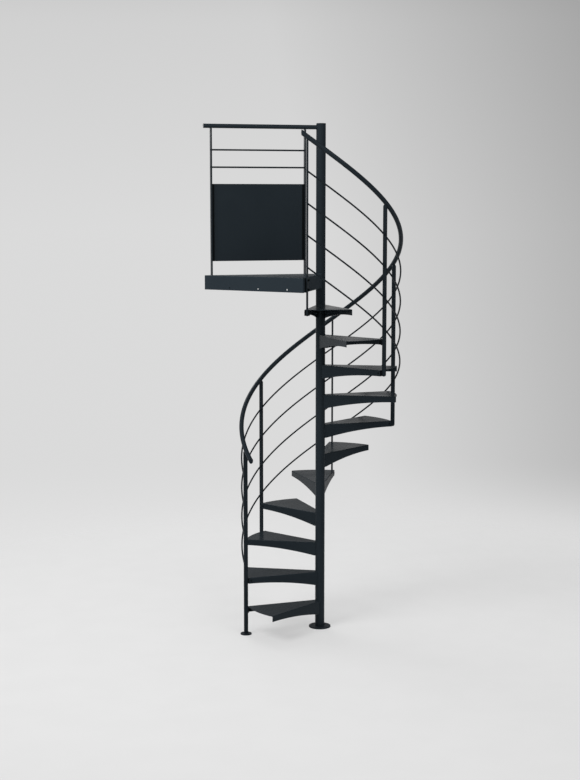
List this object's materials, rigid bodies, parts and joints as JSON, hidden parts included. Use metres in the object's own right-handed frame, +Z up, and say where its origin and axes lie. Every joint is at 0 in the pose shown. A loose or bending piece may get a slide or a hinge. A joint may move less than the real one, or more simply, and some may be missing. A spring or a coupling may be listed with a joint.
{
  "type": "spiral staircase",
  "caption": "Steel spiral staircase with folded sheet treads round a central tube, a helical handrail with rods, and a small landing with a guard.",
  "frame": {"origin": "centre of the underside of the base flange, on the column's axis at floor level", "axes": "+Z up along the column; -Y out through the landing's front flange, towards the floor edge that it is fixed to; going up turns clockwise seen from above"},
  "size_m": [1.2148, 1.2359, 3.74],
  "materials": {
    "column_paint": "satin powder coat",
    "tread_paint": "satin powder coat",
    "landing_paint": "satin powder coat",
    "rail_paint": "satin powder coat",
    "rod_paint": "satin powder coat",
    "post_paint": "satin powder coat",
    "fitting_paint": "satin powder coat",
    "panel_paint": "satin powder coat"
  },
  "bodies": {
    "root": {"center_column": "column_paint", "column_cap": "column_paint", "base_flange": "column_paint", "tread_01": "tread_paint", "tread_02": "tread_paint", "tread_03": "tread_paint", "tread_04": "tread_paint", "tread_05": "tread_paint", "tread_06": "tread_paint", "tread_07": "tread_paint", "tread_08": "tread_paint", "tread_09": "tread_paint", "tread_10": "tread_paint", "tread_11": "tread_paint", "landing_tray": "landing_paint", "handrail": "rail_paint", "handrail_end_caps": "rail_paint", "guard_rail": "rail_paint", "guard_rail_cap": "rail_paint", "infill_rod_1": "rod_paint", "infill_rod_2": "rod_paint", "infill_rod_3": "rod_paint", "infill_rod_4": "rod_paint", "guard_rod_upper": "rod_paint", "guard_rod_lower": "rod_paint", "rail_post_1": "post_paint", "rail_post_2": "post_paint", "rail_post_3": "post_paint", "rail_post_4": "post_paint", "rail_post_5": "post_paint", "rail_post_6": "post_paint", "post_foot": "post_paint", "guard_post_inner": "post_paint", "guard_post_outer": "post_paint", "tread_brackets": "fitting_paint", "landing_post_spacer": "fitting_paint", "guard_panel": "panel_paint"}
  },
  "joints": []
}
